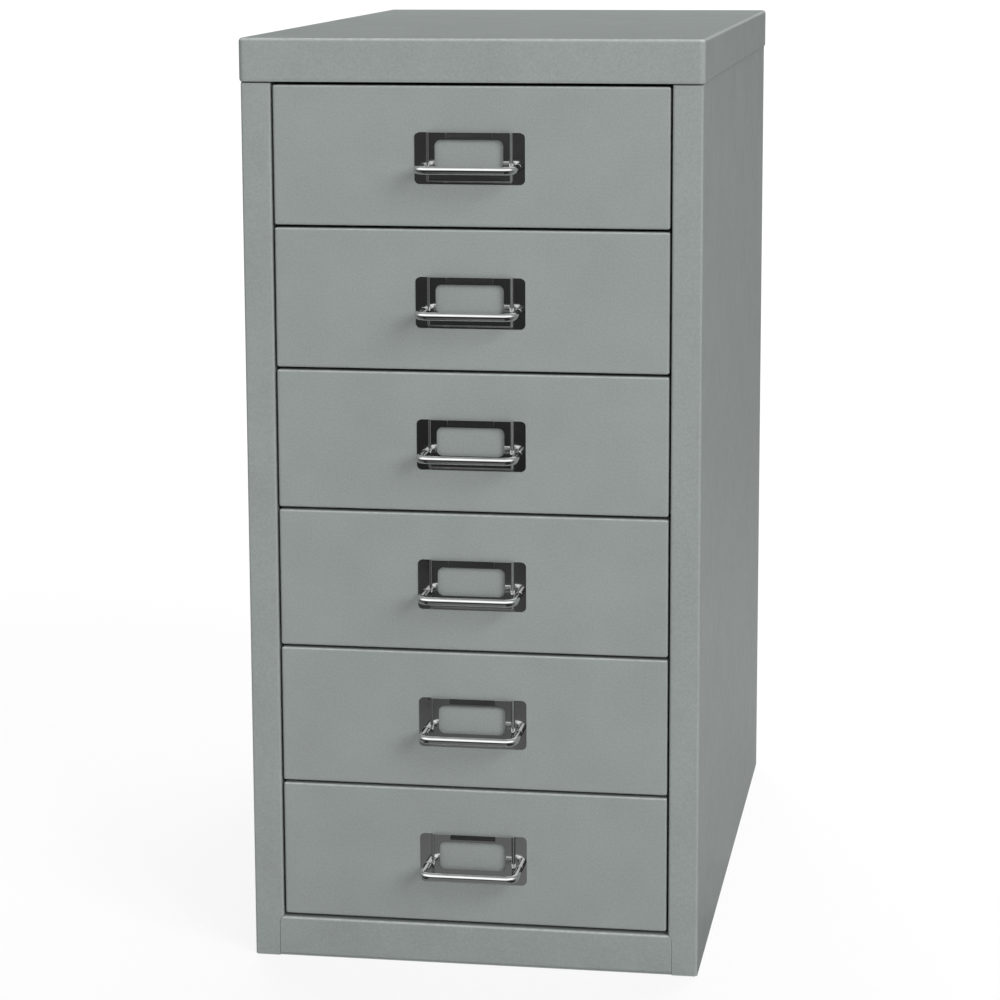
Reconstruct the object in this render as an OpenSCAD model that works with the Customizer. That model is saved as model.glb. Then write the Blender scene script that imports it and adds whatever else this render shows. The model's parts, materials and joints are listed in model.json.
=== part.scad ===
// Small free-standing drawer cabinet in folded and welded sheet steel.
// The origin is the centre of the footprint on the floor. The drawers open towards -Y, and +Z is up.

/* [Cabinet] */
// Overall width, over the top cap
cabinet_w = 279; // [220:1:400]
// Overall depth, over the top cap and without the pulls
cabinet_d = 470; // [340:1:600]
// Overall height
cabinet_h = 570; // [420:1:800]
// Number of drawers
drawers = 6; // [2:1:7]
// Sheet thickness of the shell
shell_t = 0.9; // [0.7:0.1:1.5]
// Height of the top cap's skirt
cap_h = 26; // [15:0.5:40]
// Gap between the skirt's inside and the shell
cap_gap = 0.1; // [0.1:0.1:1]
// Corner radius of the top cap, seen from above
cap_corner_r = 2; // [1:0.5:6]

/* [Shell] */
// Width of each front post
post_w = 18; // [12:0.5:30]
// Depth of the post's return, behind the front face
post_return = 15; // [8:1:25]
// Width of the flanges along the top edges of the sides
top_flange = 15; // [8:1:30]
// Width of the flanges along the rear edges of the sides
rear_flange = 12; // [8:1:30]
// Height of the base rail below the bottom drawer
rail_h = 26.5; // [15:0.5:50]
// How far each end of the base rail reaches past the opening, below its cut corners
rail_lap = 2.2; // [0.5:0.1:4]
// Seam between the base rail and the posts
rail_seam = 0.2; // [0.1:0.1:1]
// Depth of the base rail and the top rail
rail_depth = 20; // [10:1:40]
// Height of the base pan's upturned edges
pan_edge = 12; // [6:1:14]
// Depth of the rear uprights that carry the runners
upright_depth = 20; // [12:1:40]
// Clearance between hidden pieces that don't touch
clear = 1; // [0.5:0.1:2]

/* [Drawers] */
// Gap around each drawer front
front_gap = 1.3; // [0.8:0.1:3]
// Gap between one drawer front and the next
front_split = 1.7; // [1:0.1:4]
// Distance of the drawer fronts behind the face of the posts
front_recess = 0.6; // [0:0.1:3]
// Depth of the folded edges of a drawer front
front_edge = 12; // [6:0.5:20]
// Corner radius of a drawer front
front_corner_r = 1.2; // [0.5:0.1:4]
// Sheet thickness of the drawers
tray_t = 0.8; // [0.6:0.1:1.2]
// Height of the tray's bottom above the lower edge of the drawer front
tray_lift = 3; // [1:0.5:6]
// Distance of the tray's upper edges below the upper edge of the drawer front
tray_drop = 7.5; // [4:0.5:20]
// Side gap between the tray and the lips of its runners
tray_side_gap = 1.3; // [0.8:0.1:3]
// Length of tray behind the tongues that stay in the runners when a drawer is fully open
tail = 106; // [60:1:200]

/* [Runners] */
// Length of a runner's web that lies along the return of the post
runner_lap = 10; // [5:1:12]
// Width of the hooked edge along each side of a tray
hook_w = 6.7; // [6:0.1:9]
// Height of the hooked edge
hook_h = 6.5; // [5:0.1:9]
// Side gap between the hooked edge and the runner's web
hook_side_gap = 2; // [1:0.1:3]
// Running gap between the hooked edge and the lip that it slides on
slide_gap = 0.3; // [0.2:0.05:0.6]
// Gap between the hooked edge and the lip above it
lift_gap = 0.5; // [0.3:0.1:1]
// Diameter of a drawer stop
stop_d = 3.6; // [3:0.1:4]
// Height of a drawer stop
stop_h = 4; // [3:0.5:5]
// Thickness of the bumpers that a closed drawer rests against
bumper_t = 8; // [4:0.5:15]
// Diameter of the bumpers
bumper_d = 14; // [8:1:20]
// Distance of the bumpers from the tray's sides
bumper_inset = 34; // [10:1:60]

/* [Card holder] */
// Width of the card holder
holder_w = 66.4; // [60:0.2:90]
// Height of the card holder
holder_h = 30.8; // [26:0.2:40]
// Height of its centre above the middle of the drawer front
holder_rise = -1.5; // [-10:0.5:10]
// Sheet thickness
holder_t = 0.8; // [0.5:0.1:1.2]
// Width of the flat flange at each side
holder_flange = 7.2; // [6.5:0.1:9]
// Width of the step between flange and pocket
holder_step = 2; // [1:0.1:2.5]
// Depth of the card pocket
pocket_depth = 1.8; // [1:0.1:3]
// Height of the flange below the pocket
pocket_lip = 1.3; // [0.8:0.1:3]
// Width of the window
window_w = 41.2; // [30:0.2:44]
// Height of the window
window_h = 17.4; // [10:0.2:20]
// Distance of the window below the upper edge
window_drop = 4.2; // [2:0.1:6]
// Corner radius of the window
window_r = 3; // [1:0.5:5]
// Corner radius of the card holder
holder_corner_r = 2.5; // [1:0.1:4]

/* [Pull] */
// Diameter of the wire
pull_d = 4.8; // [4:0.1:6]
// Gap between the arms' feet and the steps of the card pocket
foot_gap = 0.2; // [0.1:0.1:0.5]
// Distance from the drawer front to the centre line of the bar
pull_reach = 22; // [18:0.5:35]
// Centre-line radius of the bends
pull_bend = 5; // [4:0.5:8]
// Height of the pull above the lower edge of the card holder
pull_z = 10; // [5:0.5:20]
// Diameter of the screws
screw_d = 3; // [2.5:0.1:3.2]
// Length of thread inside an arm
screw_grip = 6; // [4:0.5:8]
// Depth of a tapped hole beyond the end of its screw
screw_run_out = 1.5; // [0.5:0.5:3]
// Diameter of the screw heads
screw_head_d = 5.6; // [4.5:0.1:7]
// Height of the screw heads
screw_head_h = 2; // [1.5:0.1:3]
// Gap round a screw in the holes that it passes through
screw_gap = 0.2; // [0.1:0.05:0.5]
// Gap round a screw in its tapped hole
thread_gap = 0.05; // [0.05:0.01:0.1]

/* [Hidden] */
$fn = 48;
PAINT = [0.58, 0.61, 0.60];
CHROME = [0.72, 0.73, 0.75];
ZINC = [0.62, 0.62, 0.60];
RUBBER = [0.12, 0.12, 0.12];
BIG = 1000;

// Shell, from the outside in
cap_x = cabinet_w / 2;
cap_y = cabinet_d / 2;
body_x = cap_x - shell_t - cap_gap;
body_y = cap_y - shell_t - cap_gap;
body_top = cabinet_h - shell_t;
flange_z = body_top - shell_t;
inner_x = body_x - shell_t;
back_y = body_y - shell_t;
inner_y = back_y - shell_t;
front_y = -body_y;
post_in_y = front_y + shell_t;

// Opening for the drawers
open_x = body_x - post_w;
rail_x = open_x + rail_lap;
skirt_z = cabinet_h - cap_h;
pitch = (skirt_z - rail_h) / drawers;
front_x = open_x - front_gap;
front_h = pitch - front_split;
face_y = front_y + front_recess;

// Runners and tray
web_x = open_x + shell_t;
hook_x = web_x - hook_side_gap;
tray_x = hook_x - hook_w;
lip_x = tray_x + tray_side_gap;
lip_y0 = max(front_y + post_return, face_y + front_edge) + clear;
lip_y1 = inner_y - upright_depth - clear;
web_y0 = front_y + post_return - runner_lap;
hook_top = front_h - tray_drop;
lip_top = hook_top - hook_h - slide_gap;
kick_z = hook_top + lift_gap;
tray_y0 = face_y + tray_t;
tray_y1 = inner_y - bumper_t - slide_gap;
hook_y0 = face_y + front_edge + clear;
stop_x = (tray_x + hook_x - tray_t) / 2;
stop_y = lip_y0 + stop_d;
tongue_y = tray_y1 - tail;
bumper_x = tray_x - bumper_inset;

// Card holder and pull
holder_z = front_h / 2 + holder_rise - holder_h / 2;
pocket_out_x = holder_w / 2 - holder_flange;
pocket_in_x = pocket_out_x - holder_step;
pull_height = holder_z + pull_z;
pull_x = pocket_out_x + foot_gap + pull_d / 2;
SIDES = [-1, 1];

CARCASS = ["top_cap", "left_side_panel", "right_side_panel", "back_panel", "base_pan", "base_rail",
    "top_rail", "left_rear_upright", "right_rear_upright", "runner_stops", "rear_bumpers"];
RUNNERS = [for (side = ["left", "right"]) for (i = [1:drawers]) str(side, "_runner_", i)];
DRAWER_PIECES = ["tray", "front", "card_holder", "pull", "pull_screws"];

// Lower edge of drawer i's front; drawer 1 is at the top
function drawer_z(i) = skirt_z - i * pitch + front_split / 2;

// A block given by its lowest and highest corners
module block(low, high) {
    translate(low) cube(high - low);
}

// A rectangle with round corners, from corner to corner
module round_rect(low, high, r) {
    translate([low.x + r, low.y]) square([high.x - low.x - 2 * r, high.y - low.y]);
    translate([low.x, low.y + r]) square([high.x - low.x, high.y - low.y - 2 * r]);
    for (x = [low.x + r, high.x - r], y = [low.y + r, high.y - r]) translate([x, y]) circle(r);
}

// Extrudes a drawing made in X and Z towards -Y, from y0 by depth
module extrude_y(y0, depth) {
    translate([0, y0 + depth, 0]) rotate([90, 0, 0]) linear_extrude(depth) children();
}

// Mirrors a left-hand piece to the right for side = 1
module on_side(side) {
    mirror([side > 0 ? 1 : 0, 0, 0]) children();
}

// Face of the base rail with its upper corners cut, grown by the seam around it
module rail_face(seam) {
    corner_z = rail_h - rail_lap;
    polygon([[-rail_x - seam, -seam], [rail_x + seam, -seam], [rail_x + seam, corner_z],
        [open_x, rail_h + seam], [-open_x, rail_h + seam], [-rail_x - seam, corner_z]]);
}

module top_cap() {
    color(PAINT) difference() {
        translate([0, 0, skirt_z]) linear_extrude(cap_h)
            round_rect([-cap_x, -cap_y], [cap_x, cap_y], cap_corner_r);
        block([-cap_x + shell_t, -cap_y + shell_t, -1], [cap_x - shell_t, cap_y - shell_t, body_top]);
    }
}

// Side with its front post, the post's return and the flanges at top and rear, all one folded sheet
module side_panel(side) {
    color(PAINT) on_side(side) {
        difference() {
            union() {
                block([-body_x, front_y, 0], [-inner_x, body_y, body_top]);
                block([-body_x, front_y, 0], [-open_x, post_in_y, body_top]);
                block([-web_x, front_y, rail_h], [-open_x, front_y + post_return, flange_z]);
                block([-body_x, front_y, flange_z], [-body_x + top_flange, body_y, body_top]);
                block([-body_x, back_y, 0], [-body_x + rear_flange, body_y, body_top]);
            }
            extrude_y(front_y - 1, shell_t + 2) rail_face(rail_seam);
        }
    }
}

module back_panel() {
    color(PAINT) block([-inner_x, inner_y, shell_t], [inner_x, back_y, flange_z]);
}

module base_pan() {
    color(PAINT) {
        block([-inner_x, post_in_y, 0], [inner_x, inner_y, shell_t]);
        block([-inner_x, inner_y - shell_t, 0], [inner_x, inner_y, pan_edge]);
        for (side = SIDES) on_side(side)
            block([-inner_x, post_in_y, 0], [-inner_x + shell_t, inner_y, pan_edge]);
    }
}

module base_rail() {
    rail_y1 = front_y + rail_depth;
    color(PAINT) {
        extrude_y(front_y, shell_t) rail_face(0);
        block([-open_x, front_y, rail_h - shell_t], [open_x, rail_y1, rail_h]);
        block([-rail_x, front_y, shell_t], [rail_x, rail_y1, 2 * shell_t]);
    }
}

// Channel between the posts, hidden behind the cap's skirt
module top_rail() {
    z0 = skirt_z + clear;
    rail_y1 = front_y + rail_depth;
    color(PAINT) {
        block([-open_x, front_y, z0], [open_x, post_in_y, flange_z]);
        block([-open_x, front_y, z0], [open_x, rail_y1, z0 + shell_t]);
        block([-open_x, front_y, flange_z - shell_t], [open_x, rail_y1, flange_z]);
    }
}

// Angle on the back panel that carries the rear ends of the runners
module rear_upright(side) {
    z0 = pan_edge + clear;
    z1 = flange_z - clear;
    color(PAINT) on_side(side) {
        block([-inner_x + shell_t, inner_y - shell_t, z0], [-open_x, inner_y, z1]);
        block([-web_x, inner_y - upright_depth, z0], [-open_x, inner_y, z1]);
    }
}

// Channel that a tray's hooked edge slides in
module runner(side, i) {
    z0 = drawer_z(i) + lip_top - shell_t;
    z1 = drawer_z(i) + kick_z + shell_t;
    color(ZINC) on_side(side) {
        block([-web_x - shell_t, web_y0, z0], [-web_x, inner_y - shell_t, z1]);
        block([-web_x - shell_t, lip_y0, z0], [-lip_x, lip_y1, z0 + shell_t]);
        block([-web_x - shell_t, lip_y0, z1 - shell_t], [-lip_x, lip_y1, z1]);
    }
}

// Pegs on the runners' lower lips that a tray's tongues meet when the drawer is fully open
module runner_stops() {
    color(RUBBER) for (i = [1:drawers], side = SIDES)
        translate([side * stop_x, stop_y, drawer_z(i) + lip_top]) cylinder(h = stop_h, d = stop_d);
}

// Discs on the back panel that a closed drawer rests against
module rear_bumpers() {
    color(RUBBER) for (i = [1:drawers], side = SIDES)
        translate([side * bumper_x, inner_y, drawer_z(i) + (tray_lift + hook_top) / 2])
            rotate([90, 0, 0]) cylinder(h = bumper_t, d = bumper_d);
}

// Hooked edge along one side of a tray, with the tongue that meets the stop
module tray_hook() {
    z0 = hook_top - hook_h;
    block([-hook_x, hook_y0, hook_top - tray_t], [-tray_x + tray_t, tray_y1, hook_top]);
    block([-hook_x, hook_y0, z0], [-hook_x + tray_t, tray_y1, hook_top]);
    block([-hook_x, tongue_y, z0], [-tray_x + tray_t, tongue_y + tray_t, hook_top]);
}

// The two screw holes of a pull, through everything between y0 and y1
module pull_holes(y0, y1) {
    for (side = SIDES)
        translate([side * pull_x, y1, pull_height]) rotate([90, 0, 0])
            cylinder(h = y1 - y0, d = screw_d + 2 * screw_gap);
}

module drawer_tray(i) {
    color(PAINT) translate([0, 0, drawer_z(i)]) difference() {
        union() {
            difference() {
                block([-tray_x, tray_y0, tray_lift], [tray_x, tray_y1, hook_top]);
                block([-tray_x + tray_t, tray_y0 + tray_t, tray_lift + tray_t],
                    [tray_x - tray_t, tray_y1 - tray_t, hook_top + 1]);
            }
            for (side = SIDES) on_side(side) tray_hook();
        }
        pull_holes(tray_y0 - 1, tray_y0 + tray_t + 1);
    }
}

// Shallow pan with folded edges, welded to the front of the tray
module drawer_front(i) {
    color(PAINT) translate([0, 0, drawer_z(i)]) difference() {
        extrude_y(face_y, front_edge) round_rect([-front_x, 0], [front_x, front_h], front_corner_r);
        block([-front_x + tray_t, tray_y0, tray_t], [front_x - tray_t, BIG, front_h - tray_t]);
        pull_holes(face_y - 1, tray_y0 + 1);
    }
}

// Cross-section of the card holder seen from above, with the drawer front at y = 0 and y outwards
module holder_section(thick) {
    step = pocket_depth;
    back = thick > 0 ? [[pocket_out_x + thick / 2, 0], [pocket_in_x + thick / 2, step],
        [-pocket_in_x - thick / 2, step], [-pocket_out_x - thick / 2, 0]] : [];
    polygon(concat([[-holder_w / 2, 0], [-holder_w / 2, holder_t], [-pocket_out_x, holder_t],
        [-pocket_in_x, holder_t + step], [pocket_in_x, holder_t + step], [pocket_out_x, holder_t],
        [holder_w / 2, holder_t], [holder_w / 2, 0]], back));
}

// Chromed plate with a window and a pocket that is open at the top for the card
module card_holder(i) {
    window_z = holder_h - window_drop - window_h;
    color(CHROME) translate([0, face_y, drawer_z(i) + holder_z]) difference() {
        intersection() {
            union() {
                mirror([0, 1, 0]) translate([0, 0, pocket_lip]) linear_extrude(holder_h)
                    holder_section(holder_t);
                mirror([0, 1, 0]) translate([0, 0, pocket_lip]) linear_extrude(holder_t)
                    holder_section(0);
                block([-holder_w / 2, -holder_t, 0], [holder_w / 2, 0, pocket_lip + holder_t]);
            }
            extrude_y(-holder_t - pocket_depth - 1, holder_t + pocket_depth + 2)
                round_rect([-holder_w / 2, 0], [holder_w / 2, holder_h], holder_corner_r);
        }
        extrude_y(-BIG, 2 * BIG)
            round_rect([-window_w / 2, window_z], [window_w / 2, window_z + window_h], window_r);
        for (side = SIDES) translate([side * pull_x, 1, pull_z]) rotate([90, 0, 0])
            cylinder(h = holder_t + 2, d = screw_d + 2 * screw_gap);
    }
}

// Bent wire pull with a tapped hole in the foot of each arm
module pull(i) {
    arm = pull_reach - pull_bend - holder_t;
    bar_y = face_y - pull_reach;
    hole_h = screw_grip + screw_run_out;
    color(CHROME) translate([0, 0, drawer_z(i) + pull_height]) {
        translate([-pull_x + pull_bend, bar_y, 0]) rotate([0, 90, 0])
            cylinder(h = 2 * (pull_x - pull_bend), d = pull_d);
        for (side = SIDES) on_side(side) {
            translate([-pull_x + pull_bend, bar_y + pull_bend, 0]) rotate([0, 0, 180])
                rotate_extrude(angle = 90) translate([pull_bend, 0]) circle(d = pull_d);
            difference() {
                translate([-pull_x, face_y - holder_t, 0]) rotate([90, 0, 0])
                    cylinder(h = arm, d = pull_d);
                translate([-pull_x, face_y - holder_t + 1, 0]) rotate([90, 0, 0])
                    cylinder(h = hole_h + 1, d = screw_d + 2 * thread_gap);
            }
        }
    }
}

module pull_screws(i) {
    seat_y = tray_y0 + tray_t;
    shank = seat_y - face_y + holder_t + screw_grip;
    color(ZINC) for (side = SIDES)
        translate([side * pull_x, seat_y, drawer_z(i) + pull_height]) {
            rotate([90, 0, 0]) cylinder(h = shank, d = screw_d);
            rotate([-90, 0, 0]) cylinder(h = screw_head_h, d = screw_head_d);
        }
}

top_cap();
side_panel(-1);  // left_side_panel
side_panel(1);  // right_side_panel
back_panel();
base_pan();
base_rail();
top_rail();
rear_upright(-1);  // left_rear_upright
rear_upright(1);  // right_rear_upright
runner_stops();
rear_bumpers();
for (i = [1:drawers]) {
    runner(-1, i);
    runner(1, i);
    drawer_tray(i);
    drawer_front(i);
    card_holder(i);
    pull(i);
    pull_screws(i);
}
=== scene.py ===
"""Looks of a small sheet steel drawer cabinet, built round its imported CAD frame.

The shapes are drawn in millimetres in the frame's own axes: drawers open towards -Y, +Z is up.
"""

import json
import math

import bmesh
import bpy
from mathutils import Matrix, Vector

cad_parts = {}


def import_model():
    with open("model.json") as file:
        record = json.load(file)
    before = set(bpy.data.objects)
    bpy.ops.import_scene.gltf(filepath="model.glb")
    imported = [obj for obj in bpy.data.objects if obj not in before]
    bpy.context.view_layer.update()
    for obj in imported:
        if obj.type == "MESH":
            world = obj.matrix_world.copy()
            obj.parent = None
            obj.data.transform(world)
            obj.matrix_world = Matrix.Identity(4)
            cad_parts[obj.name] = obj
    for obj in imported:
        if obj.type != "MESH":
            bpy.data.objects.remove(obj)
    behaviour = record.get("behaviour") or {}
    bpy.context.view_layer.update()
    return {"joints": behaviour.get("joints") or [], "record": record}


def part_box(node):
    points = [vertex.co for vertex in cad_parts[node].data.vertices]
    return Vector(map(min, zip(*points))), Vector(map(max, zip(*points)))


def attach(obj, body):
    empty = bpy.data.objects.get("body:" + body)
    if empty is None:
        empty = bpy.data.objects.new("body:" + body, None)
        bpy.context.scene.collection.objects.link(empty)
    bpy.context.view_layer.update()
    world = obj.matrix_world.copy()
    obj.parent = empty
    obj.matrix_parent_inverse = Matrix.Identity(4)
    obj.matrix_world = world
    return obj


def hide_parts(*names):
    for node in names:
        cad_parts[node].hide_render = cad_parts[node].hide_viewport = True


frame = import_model()

MM = 0.001
X, Y, Z = Vector((1, 0, 0)), Vector((0, 1, 0)), Vector((0, 0, 1))
SIDES = (("left", -1), ("right", 1))
CARCASS = "carcass"
BODIES = frame["record"]["behaviour"]["bodies"]
DRAWERS = range(1, sum(body.startswith("drawer_") for body in BODIES) + 1)
TRAVEL = max(frame["joints"][0]["range_m"]) / MM


def box(node):
    """Lowest and highest corner of a CAD node at rest, in millimetres."""
    low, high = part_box(node)
    return low / MM, high / MM


# ---------------------------------------------------------------- sizes worked out from the frame

CAP_LOW, CAP_HIGH = box("top_cap")
SIDE_LOW, SIDE_HIGH = box("right_side_panel")
BACK_LOW, BACK_HIGH = box("back_panel")
RAIL_LOW, RAIL_HIGH = box("base_rail")
TOP_RAIL_LOW, TOP_RAIL_HIGH = box("top_rail")
PAN_LOW, PAN_HIGH = box("base_pan")
UPRIGHT_LOW, UPRIGHT_HIGH = box("right_rear_upright")
FRONT_LOW, FRONT_HIGH = box("drawer_1_front")
STOPS_LOW, STOPS_HIGH = box("runner_stops")

SHELL_T = BACK_HIGH.y - BACK_LOW.y
TRAY_T = box("drawer_1_tray")[0].y - FRONT_LOW.y
BODY_X, BODY_Y = SIDE_HIGH.x, SIDE_HIGH.y
OPEN_X = SIDE_LOW.x

# ---------------------------------------------------------------- sizes that only the looks need

# Outer radii of bends and of the corners of pans, and faces that round each one
CAP_BEND, CAP_CORNER = 2.2, 3.6
SHELL_BEND, RAIL_BEND, TRAY_BEND = 1.4, 1.9, 1.3
FRONT_BEND, FRONT_CORNER = 1.5, 1.4
BEND_STEPS, CORNER_STEPS = 6, 6
# Least radius of the corners inside a pan
LEAST_CORNER = 0.25
# Widths of the broken edges of cut sheet, and of thinner or finer sheet
BURR, FINE_BURR = 0.15, 0.1
# The skirt of the cap curls in by HEM_IN over its last HEM_UP
HEM_IN, HEM_UP = 0.9, 2.2
# The posts step back behind the skirt and leave a dark line below it
GROOVE_H, GROOVE_DEPTH = 0.9, 2.6
# Flanges of the side sheets: behind the front posts, under the cap and at the rear
POST_RETURN, TOP_FLANGE, REAR_FLANGE = 15.0, 15.0, 12.0
# Front rail: its cut corners, the seams between it and the posts, and its height above the floor
RAIL_CUT, RAIL_SEAM, RAIL_LIFT = 2.2, 0.2, 0.5
# How far the feet of the side sheets rise towards the bends
FOOT_ROUND = 1.1
# How far the gaps over the top drawer and over the base rail are wider than in the frame
TOP_GAP, RAIL_GAP = 1.0, 1.2
# Spot welds along the rear flanges: (radius, height) pairs from edge to middle, and their pitch
WELD_PROFILE = ((2.6, -0.2), (2.6, 0.02), (2.262, 0.1), (1.82, 0.05), (0.8, 0.015), (0.1, 0.01))
WELD_PITCH = 62.0
# Gap before the ends of runner lips and hooked edges
END_GAP = 1.0
# Hooked edges of a tray: how far they reach from its walls, and their height
HOOK_REACH, HOOK_H = 6.7, 6.5
# Distance between a tongue and its stop when the drawer is fully open
TONGUE_GAP = 0.5
# Card holder: flat flange, step, sheet, window and the two heights between which the pocket rises
FLANGE, STEP, SHEET = 6.9, 2.3, 0.5
WINDOW_W, WINDOW_H, WINDOW_DROP, WINDOW_R = 41.2, 17.4, 4.2, 3.6
LIP_LOW, LIP_HIGH = 1.0, 2.3
HOLDER_CORNER = 3.0
# Parts into which the step and the lower slope of the pocket are cut, so that they curve
STEP_CUTS, LIP_CUTS = 8, 6
# Tab slit from the upper edge of the card holder, which leans back at its top
TAB_W, TAB_SLIT, TAB_DEPTH, TAB_TILT = 28.0, 0.15, 3.3, 7.0
# It bends TAB_BEND above its foot, where there are TAB_CUTS cuts, each TAB_CUT above the last
TAB_BEND, TAB_CUTS, TAB_CUT = 0.3, 4, 0.2
# Wire pull, whose feet are broken by PULL_FOOT_IN over their last PULL_FOOT_UP, and its faces
PULL_R, PULL_BEND, PULL_FOOT_IN, PULL_FOOT_UP = 2.4, 6.0, 0.35, 0.4
PULL_BEND_STEPS, PULL_SIDES = 10, 24
# Pan-head screws: shank, its broken tip, head, and the part of the head's edge that is rounded
SCREW_R, SCREW_TIP, HEAD_R, HEAD_H = 1.5, 0.4, 2.8, 2.0
CROWN_IN, CROWN_UP, CROWN_STEPS = 0.7, 0.9, 6
# Cross recess: (height above the head, half width, reach) of a plus above the head and at the
# bottom, and its turn in degrees
RECESS_SECTIONS, RECESS_TURN = ((1.2, 0.375, 1.6), (-1.2, 0.225, 0.8)), 20
# Moulded rubber: radius, radius of the edge, radius of the dimple
BUMPER_R, BUMPER_EDGE, BUMPER_DIMPLE = 7.0, 1.2, 1.8
STOP_R, STOP_EDGE, STOP_DIMPLE = 1.8, 0.5, 0.6
# In radii of the dimple: where its slope starts, and the depths of the slope and of the middle
DIMPLE_OUT, DIMPLE_SLOPE, DIMPLE_DEPTH = 1.3, 0.6, 0.7
MOULD_STEPS = 5
# Turned shapes: their faces round the axis, and the radius of the small face left at the axis
LATHE_STEPS, WELD_STEPS, AXIS_R = 32, 24, 0.1
# Points closer than this become one, points this close to a cut lie on it, and folds sharper than
# this, in radians, are rounded
JOIN, ON_CUT, FOLD_ANGLE = 0.01, 1e-4, 0.5
# Edges sharper than this, in degrees, are broken, and faces that round them
EDGE_ANGLE, EDGE_STEPS = 50, 2

# ---------------------------------------------------------------- studio, in metres and watts

CAMERA_AZIMUTH, CAMERA_ELEVATION, CAMERA_ROLL = 9.257, 9.774, -0.230
CAMERA_PLACE = (0.3041, -1.9915, 0.6497)
FOCAL_PX, IMAGE_PX, CENTRE_PX = 3015.427, 1000, (500, 420)
SENSOR_MM = 36.0
# Light of the surroundings on the object, and light that chrome passes on to the paint beside it
WORLD_LIGHT, PASSED_ON = 0.30, 1.3
# Name, watts, width and height, azimuth and elevation seen from LAMP_AIM, distance
LAMPS = (("key", 50.0, (3.0, 3.0), 10, 25, 6.0),
         ("side_key", 200.0, (3.0, 3.0), 45, 25, 6.0),
         ("rear_top", 60.0, (2.4, 1.8), 180, 60, 2.8))
LAMP_AIM = Vector((0, 0, 0.3))
# Share and strength of the floor's own white, which is all that is seen of it from FLOOR_FAR on
FLOOR_GLOW, FLOOR_SHARE, FLOOR_NEAR, FLOOR_FAR = 1.05, 0.78, 0.6, 2.0
# Dim room that only reflections see: radius of its dome, how far that is above the floor, faces
# round it and from the floor up, and radius of the one face in the middle of its floor
ROOM_REACH, ROOM_LIFT, ROOM_SIDES, ROOM_RINGS, ROOM_MIDDLE = 8.0, 0.0005, 48, 24, 0.01
# Distances between which the tone of its floor changes beside the object, and towards the walls
ROOM_NEAR, ROOM_FAR, WALL_FROM, WALL_TO = 0.45, 2.0, 3.0, 5.5
# Tones of its floor beside the object and far from it, of its walls, and of the floor behind the
# object, near and far
NEAR_TONE, FAR_TONE, WALL_TONE, REAR_NEAR, REAR_FAR = 0.152, 0.030, 0.047, 0.27, 0.12
# Y of the directions between which the dim strips end, the floor behind starts, and the band ends
STRIPS_END, REAR_STARTS, BAND_TURNS = (-0.2, 0.0), (-0.35, 0.05), (-0.2, 0.35)
# Directions that rise less than this meet the floor
HORIZON = 0.01
# Bright band in front of it: the elevations, in degrees, at which its dim foot starts and is full,
# at which the band itself starts and is full, and at which it starts to fade and ends
BAND_HEIGHTS = (14, 17.5, 21, 25, 52, 85)
# Tone of the band, and the shares of it that its foot has and that is left where it ends
BAND_TONE, BAND_FOOT, BAND_REST = 1.6, 0.6, 0.45
# Uneven tones of the room: patches a metre, and the least and most that they leave of a tone
PATCHES, PATCH_LOW, PATCH_HIGH = 1.3, 0.6, 1.4
# Its floor is dim beside the way to the camera: X of the directions between which the light strip
# ends on both sides and a lighter floor starts on the left, and the share of the tone in between
STRIP_ENDS, LEFT_STARTS, DIM = (0.19, 0.25), (-0.50, -0.56), 0.2
# Floor and walls are lighter at both sides: X of the directions between which that starts, and
# how light they become
SIDE_FROM, SIDE_FULL, SIDE_TONE = 0.70, 0.85, 0.15
# Kinds of rays that meet the white of the floor and the surroundings
SEEN = ("Is Camera Ray", "Is Glossy Ray", "Is Transmission Ray")
# Matt paint of the floor, and half its width
FLOOR_PAINT, FLOOR_SIZE = (0.82, 0.82, 0.82, 1), 40


# ---------------------------------------------------------------- materials

# Colours at the two ends of each material's mottle, and a painted highlight for upper bends
PAINT_DARK, PAINT_LIGHT = (0.257, 0.282, 0.274, 1), (0.333, 0.364, 0.355, 1)
PAINT_HIGHLIGHT = (0.60, 0.64, 0.63, 1)
CHROME_CLEAN, CHROME_STAINED = (0.67, 0.675, 0.68, 1), (0.60, 0.60, 0.60, 1)
ZINC_DARK, ZINC_LIGHT = (0.50, 0.51, 0.51, 1), (0.68, 0.68, 0.65, 1)
RUBBER_BLACK, RUBBER_DUSTY = (0.016, 0.016, 0.017, 1), (0.055, 0.053, 0.05, 1)
# Longest part of the normal of a flat face and of a bend, and the normal's heights at which a bend
# starts to be an upper one and is one fully
FLAT, ROUND, UPPER_STARTS, UPPER_FULL = 0.999, 0.80, 0.1, 0.45
# Noise seldom leaves this range
LEAST, MOST = 0.3, 0.7


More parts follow.
